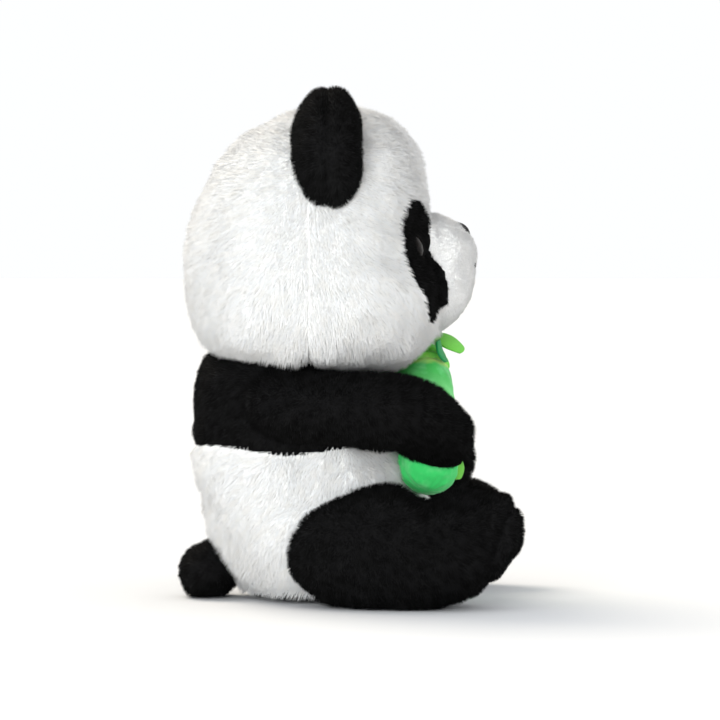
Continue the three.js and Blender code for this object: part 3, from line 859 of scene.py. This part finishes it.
def build_head():
    points, triangles = head_shape()
    centre_seam = lambda p: np.where(p[:, 1] > 0, p[:, 0], 99)
    muzzle_seam = lambda p: np.where(muzzle_reach(p) < 2, (muzzle_reach(p) - 1) * 36, 99)
    seams = [plane(1, HEAD_SEAM_Y), centre_seam, muzzle_seam]
    points = stuffed(points, triangles, seams, 0.8, sunk=1.2, width=4)
    seams += [patch_edge(side) for side in SIDES.values()]
    cast = caster(points, triangles)
    build_nose(cast)
    paths = mouth_paths(cast)
    build_mouth(paths)
    build_eyes()
    stitches = np.vstack(paths)

    front = lambda p: p[:, 1] < HEAD_SEAM_Y
    muzzle = lambda p: muzzle_reach(p) < 1
    panels = []
    for name, side in SIDES.items():
        half, patch = on_side(side), on_patch(side)
        face, back = both(front, half, other(muzzle), other(patch)), both(other(front), half)
        down_face, down_back = {"comb": away_from(FACE_CROWN)}, {"comb": away_from(BACK_CROWN)}
        back_nodes, dense = [f"head_back_panel_{name}"], {"density": 2.4}
        surround, short = both(half, patch), BLACK_LENGTH * 0.9
        panels += [
            (f"face_{name}", face, "white", WHITE_LENGTH * 0.9, [f"face_panel_{name}"], down_face),
            (f"head_back_{name}", back, "white", WHITE_LENGTH, back_nodes, down_back),
            (f"eye_surround_{name}", surround, "black", short, [f"eye_patch_{name}"], dense),
        ]
    clear = both(muzzle, other(on_patch(-1)), other(on_patch(1)))
    panels.append(("muzzle", clear, "muzzle", 2.0, ["muzzle_cover", "head_filling"]))

    def keep(p):
        """Not where the eyes, nose, stitches and neck are."""
        free = np.ones(len(p), bool)
        for side in SIDES.values():
            free &= np.linalg.norm(p - eye_place(side)[0], axis=1) > EYE["radius"] - 0.4
        from_nose = p - NOSE["at"]
        width, height = from_nose[:, 0] / NOSE["half_width"], from_nose @ NOSE_UP / NOSE["half_height"]
        free &= (np.hypot(width, height) > 0.9) | (from_nose @ NOSE_OUT < -9)
        muzzle_front = p[:, 1] < -50
        free[muzzle_front] &= nearest_distance(p[muzzle_front], stitches) > 1.2
        hidden = (p[:, 2] < 147) & (np.hypot(p[:, 0] / 56, (p[:, 1] - 26) / 44) < 1)
        return free & ~hidden

    dress("head", points, triangles, panels, seams, keep)


# ---- Bamboo ----

BAMBOO_ROUTE = [(-33, -45, 78.5), (-23, -46.5, 92), (-5, -44, 114), (9, -40.5, 130), (20, -35, 143)]
BAMBOO_RADIUS = 17.2
BAMBOO_RINGS = (0.33, 0.71)  # where the two node rings are along it
RING_HALF = 0.022


def clear_of_bamboo(points, gap):
    """Moves points out of the stalk, as the cloth that it presses on gives way."""
    line = curve_through(BAMBOO_ROUTE, np.linspace(0, 1, 60))
    gaps = np.linalg.norm(points[:, None] - line[None], axis=2)
    nearest = line[gaps.argmin(1)]
    away = points - nearest
    distance = np.linalg.norm(away, axis=1)[:, None]
    room = BAMBOO_RADIUS + gap
    pushed = nearest + away / np.maximum(distance, 1e-6) * room
    return np.where(distance < room, pushed, points)


def along_route(route, start, end, rings, reach):
    """Rings on a route and on past its ends, by start and end, closer together near them.

    Gives each ring's middle and direction, its height from -1 to 1, the share of the route before it and
    how far past the route's end it is.
    """
    line = curve_through(route, np.linspace(0, 1, 400))
    run = np.concatenate([[0], np.cumsum(np.linalg.norm(np.diff(line, axis=0), axis=1))])
    low, high = -start, run[-1] + end
    height = np.sin(np.linspace(-1, 1, rings) * math.pi / 2 * reach)
    along = (low + high) / 2 + height * (high - low) / 2
    on_line = np.clip(along, 0, run[-1])
    slope = unit(np.gradient(line, axis=0))
    place = np.stack([np.interp(on_line, run, line[:, k]) for k in range(3)], -1)
    tangent = unit(np.stack([np.interp(on_line, run, slope[:, k]) for k in range(3)], -1))
    past = along - on_line
    return place + tangent * past[:, None], tangent, height, on_line / run[-1], past


def build_bamboo():
    """One stuffed tube of printed velour, gathered at its two node rings."""
    rings, around = 170, 84
    ends = [BAMBOO_RADIUS] * 2
    place, tangent, height, _, past = along_route(BAMBOO_ROUTE, *ends, rings, 0.9995)
    side = unit(np.cross(tangent, [0, 1, 0]))
    rise = np.cross(side, tangent)
    turn = full_turn(around)

    share = (height + 1) / 2
    cap = np.sqrt(np.maximum(1 - (past / BAMBOO_RADIUS) ** 2, 0))
    radius = BAMBOO_RADIUS * cap[:, None] * np.ones(around)
    for at in BAMBOO_RINGS:
        gathers = 1 + 0.35 * np.sin(23 * turn + 2 * np.sin(3 * turn))
        tuck = bell(share - at - RING_HALF, 0.012) + bell(share - at + RING_HALF, 0.012)
        radius -= 0.75 * tuck[:, None] * gathers
        radius += (0.7 * bell(share - at, 0.014))[:, None]
    pleats = 0.3 * np.sin(14 * turn + 2) * bell(np.abs(past) - BAMBOO_RADIUS * 0.9, 4)[:, None]
    radius += pleats
    points, triangles = closed_grid(place[:, None] + radius[..., None] * circles(side, rise, turn))
    triangles = facing_out(points, triangles)
    out = point_normals(points, triangles)
    lumps = 0.5 * Waves(22, 31).value(points) + 0.22 * Waves(8, 32).value(points)
    points = points + out * lumps[:, None]

    where = np.concatenate([[share[0]], np.repeat(share[1:-1], around), [share[-1]]])
    where = where[triangles].mean(1)
    ends = [-1, *(ring + half for ring in BAMBOO_RINGS for half in (-RING_HALF, RING_HALF)), 2]
    nodes = ["stalk_lower", "node_band_lower", "stalk_middle", "node_band_upper", "stalk_upper"]
    slots = ["mint_velour", "band_velour", "green_velour", "band_velour", "lime_velour"]
    for node, slot, start, end in zip(nodes, slots, ends, ends[1:]):
        faces = triangles[(where >= start) & (where < end)]
        filling = ["stalk_filling"] if node == "stalk_middle" else []
        cover = piece(f"{node}_velour", points, faces, BAMBOO, "torso", slot, node, *filling)


def slab(middle, thickness):
    """Points and triangles of a thin closed sheet round a grid of points."""
    rows, columns = middle.shape[:2]
    across, along = np.gradient(middle, axis=1), np.gradient(middle, axis=0)
    normal = unit(np.cross(across, along))
    top, bottom = middle + normal * thickness / 2, middle - normal * thickness / 2
    points = np.concatenate([top.reshape(-1, 3), bottom.reshape(-1, 3)])
    n = rows * columns
    index = np.arange(n).reshape(rows, columns)
    rim = np.concatenate([index[0], index[1:, -1], index[-1, -2::-1], index[-2:0:-1, 0]])
    following = np.roll(rim, -1)
    faces = grid_faces(rows, columns)
    walls = np.concatenate(
        [np.stack([rim, rim + n, following + n], -1), np.stack([rim, following + n, following], -1)]
    )
    return points, np.concatenate([faces, faces[:, ::-1] + n, walls])


FELT_THICKNESS = 1.4

# Each leaf: where it is sewn on, the way it points, the way it is wide, length, width and its bend.
LEAVES = {
    "leaf_front": ((11, -50, 151), (0, -0.89, -0.46), (0.82, -0.26, 0.5), 18.5, 12.6, 1.2, LIME_FELT),
    # The hanging leaf's darker felt is partly painted shade from the front leaf above it.
    "leaf_hanging": ((-3, -51.5, 149), (0.05, -0.36, -0.93), (0.96, -0.28, 0), 13.5, 10.7, -1, SHADED_DARK_FELT),
    "leaf_lower": ((-29, -60.5, 82), (-0.1, -0.1, -1), (0.62, -0.78, 0), 12, 10.7, 0.8, LIME_FELT),
}


def build_leaves():
    for node, (root, heading, across, length, width, bend, felt) in LEAVES.items():
        heading = unit(np.array(heading, float))
        across = np.array(across, float)
        across = unit(across - heading * (across @ heading))
        up = np.cross(across, heading)
        up = up * (1 if up[2] > 0 or up[1] < 0 else -1)
        s = np.linspace(0, 1, 44)
        # It widens from its root, then narrows to a rounded tip.
        half = width / 2 * (0.72 + 0.28 * np.sin(np.clip(s / 0.45, 0, 1) * math.pi / 2))
        half = half * (1 - 0.55 * np.clip((s - 0.45) / 0.55, 0, 1) ** 1.6)
        half = half * np.sqrt(np.clip(1 - np.clip((s - 0.9) / 0.102, 0, 1) ** 3, 0.004, 1))
        w = np.linspace(-1, 1, 21)
        bent = bend * np.sin(s * math.pi)[:, None] - 1.1 * (w**2)[None] * half[:, None] / width
        middle = np.array(root, float) + heading * (s * length)[:, None, None]
        middle = middle + across * (half[:, None] * w)[..., None] + up * bent[..., None]
        points, triangles = slab(middle, FELT_THICKNESS)
        slot = "dark_felt" if felt is SHADED_DARK_FELT else "lime_felt"
        leaf = piece(f"{node}_felt", points, facing_out(points, triangles), felt, node, slot, node)


# ---- Torso, tail and neck ----

BAND_Z = 90
SIDE_SEAM_Y = 4
SEAT_BASE_Z = 7


def build_torso():
    points, triangles = soft_form(TORSO, 128, 84)
    points = clear_of_bamboo(points, 0.6)
    band_edge = lambda p: p[:, 2] - BAND_Z + 4.5 * bell(p[:, 1] - 35, 25)
    high = lambda p: band_edge(p) >= 0
    base = lambda p: p[:, 2] < SEAT_BASE_Z
    back = lambda p: p[:, 1] >= SIDE_SEAM_Y
    centre_seam = lambda p: np.where(p[:, 1] > 10, p[:, 0], 99)
    seams = [band_edge, centre_seam]
    points = stuffed(points, triangles, seams)
    middle = both(other(high), other(base))
    panels = [
        ("chest", both(high, other(back)), "black", BLACK_LENGTH, ["chest_panel"]),
        ("belly", both(middle, other(back)), "white", WHITE_LENGTH, ["belly_panel", "body_filling"]),
        ("seat", base, "black", 2.4, ["seat_base", "pellet_bag"], {"density": 1.2, "lean": 0.9}),
    ]
    for name, side in SIDES.items():
        half = both(back, on_side(side))
        shoulder, lower = both(high, half), both(middle, half)
        panels += [
            (f"shoulder_{name}", shoulder, "black", BLACK_LENGTH, [f"shoulder_band_{name}"]),
            (f"back_{name}", lower, "white", WHITE_LENGTH, [f"back_panel_{name}"]),
        ]
    under_head = lambda p: (p[:, 2] < 134) | (np.hypot(p[:, 0], p[:, 1] - 24) > 36)
    dress("torso", points, triangles, panels, seams, under_head)


TAIL = {"at": np.array([0, 82, 15.5]), "half": (20, 15, 13.5)}
TAIL_KNOB = {"at": np.array([0, 77, 23.0]), "half": (15, 8, 9)}


def build_tail():
    points, triangles = voxel_union([ball_form(ball, 56, 36) for ball in (TAIL, TAIL_KNOB)], 1.6)
    points = smoothed(points, triangles, 4)
    seams = [plane(0, 0)]
    points = stuffed(points, triangles, seams, 0.8)
    panels = []
    for name, side in SIDES.items():
        nodes = [f"tail_panel_{name}"] + (["tail_filling"] if side > 0 else [])
        options = {"comb": np.array([0, 0.8, -0.5]), "clump": 0.45}
        panels.append((f"tail_{name}", on_side(side), "black", BLACK_LENGTH * 1.1, nodes, options))
    dress("tail", points, triangles, panels, seams, lambda p: ~deep_inside(TORSO, p))


def build_neck():
    """The gathered cloth deep in the crease between head and shoulders."""
    collar = {"low": 122, "high": 150, "bottom": 3, "top": 3, "plan": 2.2}
    collar["sections"] = [(40, -6, 66), (44, -9, 70), (40, -6, 66)]
    points, triangles = soft_form(collar, 200, 24)
    out = point_normals(points, triangles)
    turn = np.arctan2(points[:, 1] - 30, points[:, 0])
    gathers = 0.9 * np.sin(46 * turn + 1.5 * np.sin(5 * turn))
    points = points + out * gathers[:, None]
    neck = piece("neck_collar", points, triangles, BLACK_SKIN, "neck", "black_plush", "neck_filling")


# ---- Ears, arms and legs ----

EAR_AT = np.array([63.5, 12.5, 260.5])
EAR_LEAN = 0.34  # how far its lower end stands out, for its height
EAR = {
    "low": -36,
    "high": 32.5,
    "bottom": 2.2,
    "top": 2.3,
    "plan": 2.2,
    "sections": [(19, -19, 16), (26, -21, 17), (30, -21.5, 17.5), (30, -20.5, 17.5), (26, -18, 17)],
}


def build_ears():
    for name, side in SIDES.items():
        points, triangles = soft_form(EAR, 80, 56)
        rim = np.hypot(points[:, 0] / 30, points[:, 2] / 32)
        points[:, 1] += 5 * bell(rim, 0.55) * (points[:, 1] < 0)
        points[:, 0] -= side * EAR_LEAN * points[:, 2]
        points = points + EAR_AT * [side, 1, 1]
        seams = [plane(1, EAR_AT[1])]
        points = stuffed(points, triangles, seams, 0.7)
        front = lambda p: p[:, 1] < EAR_AT[1]
        back_nodes = [f"ear_back_{name}", f"ear_wadding_{name}"]
        dense = {"density": 2.1, "lean": 0.35}
        panels = [
            (f"ear_face_{name}", front, "black", BLACK_LENGTH * 0.85, [f"ear_front_{name}"], dense),
            (f"ear_rear_{name}", other(front), "black", BLACK_LENGTH, back_nodes, dense),
        ]
        body = f"ear_{name}"
        dress(body, points, triangles, panels, seams, lambda p: ~deep_inside(HEAD, p))


ARM_RADIUS = 20.5
ARM_SWELL = [0.9, 1.02, 1, 1.04, 1.06]
ARM_ROUTES = {
    "right": [(-30, 50, 113), (-54, 30, 113.5), (-69, 2, 111.5), (-64, -30, 109.5), (-42, -51.5, 96.5)],
    "left": [(30, 50, 113), (54, 30, 113.5), (69, 2, 110), (57, -32, 97), (22, -52.5, 79.5)],
}


def nearest_distance(points, others):
    """The distance from each point to the nearest of others."""
    least = np.full(len(points), np.inf)
    for start in range(0, len(points), 4000):
        some = points[start : start + 4000]
        gaps = ((some[:, None] - others[None]) ** 2).sum(-1)
        least[start : start + 4000] = np.sqrt(gaps.min(1))
    return least


def arm_shape(route, side):
    """Points and triangles of an arm bent along its route, and how far each point faces outward."""
    rings, around = 76, 64
    ends = ARM_RADIUS * 0.6, ARM_RADIUS * 0.75
    place, tangent, height, share, _ = along_route(route, *ends, rings, 0.999)
    spread = (1 - np.abs(height) ** 4) ** 0.25
    outward = unit(np.cross(tangent, [0, 0, 1])) * -side
    rise = unit(np.cross(tangent, outward)) * side
    swell = np.interp(share, np.linspace(0, 1, len(ARM_SWELL)), ARM_SWELL)
    turn = full_turn(around)
    radius = (spread * swell * ARM_RADIUS)[:, None, None]
    points, triangles = closed_grid(place[:, None] + radius * circles(outward, rise, turn))
    facing = np.concatenate([[1], np.broadcast_to(np.cos(turn), (rings - 2, around)).ravel(), [1]])
    return points, facing_out(points, triangles), facing


def build_arms():
    for name, side in SIDES.items():
        points, triangles, facing = arm_shape(ARM_ROUTES[name], side)
        points = clear_of_bamboo(points, 1.0)
        on_seam = points[np.abs(facing) < 0.03]
        seams = [lambda p: nearest_distance(p, on_seam)]
        points = stuffed(points, triangles, seams)
        outer = facing[triangles].mean(1) > 0
        comb = {"comb": np.array([side * 0.1, -0.5, -0.7])}
        inner_nodes = [f"arm_inner_{name}", f"arm_filling_{name}"]
        panels = [
            (f"arm_front_{name}", outer, "black", BLACK_LENGTH, [f"arm_outer_{name}"], comb),
            (f"arm_rear_{name}", ~outer, "black", BLACK_LENGTH * 0.8, inner_nodes, comb),
        ]
        dress(f"arm_{name}", points, triangles, panels, seams, lambda p: ~deep_inside(TORSO, p))


# How far a leg's underside is lifted, from toe to thigh: y and height.
LEG_UNDERSIDE = [(-100, 32), (-92, 23), (-84, 15), (-72, 9.5), (-58, 6), (-45, 3), (-30, 0.5)]
LEG_X = 64
LEG_SPLAY = math.radians(5)
SOLE_Y = -82


def build_legs():
    for name, side in SIDES.items():
        points, triangles = soft_form(LEG, 110, 76)
        tall = LEG["high"]
        share = np.clip(points[:, 2] / tall, 0, 1)
        # The top dips behind the toes.
        dip = 9 * bell(points[:, 1] + 45, 13) + 4.5 * bell(points[:, 1] + 72, 16)
        points[:, 2] -= dip * share**2
        lifted = np.interp(points[:, 1], *zip(*LEG_UNDERSIDE))
        points[:, 2] = lifted + points[:, 2] * (1 - lifted / tall)
        c, s = math.cos(side * LEG_SPLAY), math.sin(side * LEG_SPLAY)
        turned = points.copy()
        turned[:, 0] = points[:, 0] * c - points[:, 1] * s + side * LEG_X
        turned[:, 1] = points[:, 0] * s + points[:, 1] * c

        def straight(p):
            """x and y along the leg's own axes."""
            x, y = p[:, 0] - side * LEG_X, p[:, 1]
            return x * c + y * s, y * c - x * s

        def from_sole(p):
            return straight(p)[1] - SOLE_Y + 0.3 * (p[:, 2] - 30)

        sole = lambda p: from_sole(p) < 0
        outer = lambda p: straight(p)[0] * side >= 0
        top_seam = lambda p: np.where(sole(p), 99, straight(p)[0])
        seams = [top_seam, from_sole]
        points = stuffed(turned, triangles, seams)
        comb = {"comb": np.array([0, -0.5, -0.8])}
        inner_nodes = [f"leg_inner_{name}", f"leg_filling_{name}"]
        outside, inner = both(outer, other(sole)), both(other(outer), other(sole))
        panels = [
            (f"leg_side_{name}", outside, "black", BLACK_LENGTH, [f"leg_outer_{name}"], comb),
            (f"leg_middle_{name}", inner, "black", BLACK_LENGTH, inner_nodes, comb),
            (f"sole_pad_{name}", sole, "black", BLACK_LENGTH * 0.75, [f"sole_{name}"]),
        ]
        keep = lambda p: ~deep_inside(TORSO, p) & (p[:, 2] > 1.2)
        dress(f"leg_{name}", points, triangles, panels, seams, keep)


build_head()
build_bamboo()
build_leaves()
build_torso()
build_tail()
build_neck()
build_ears()
build_arms()
build_legs()
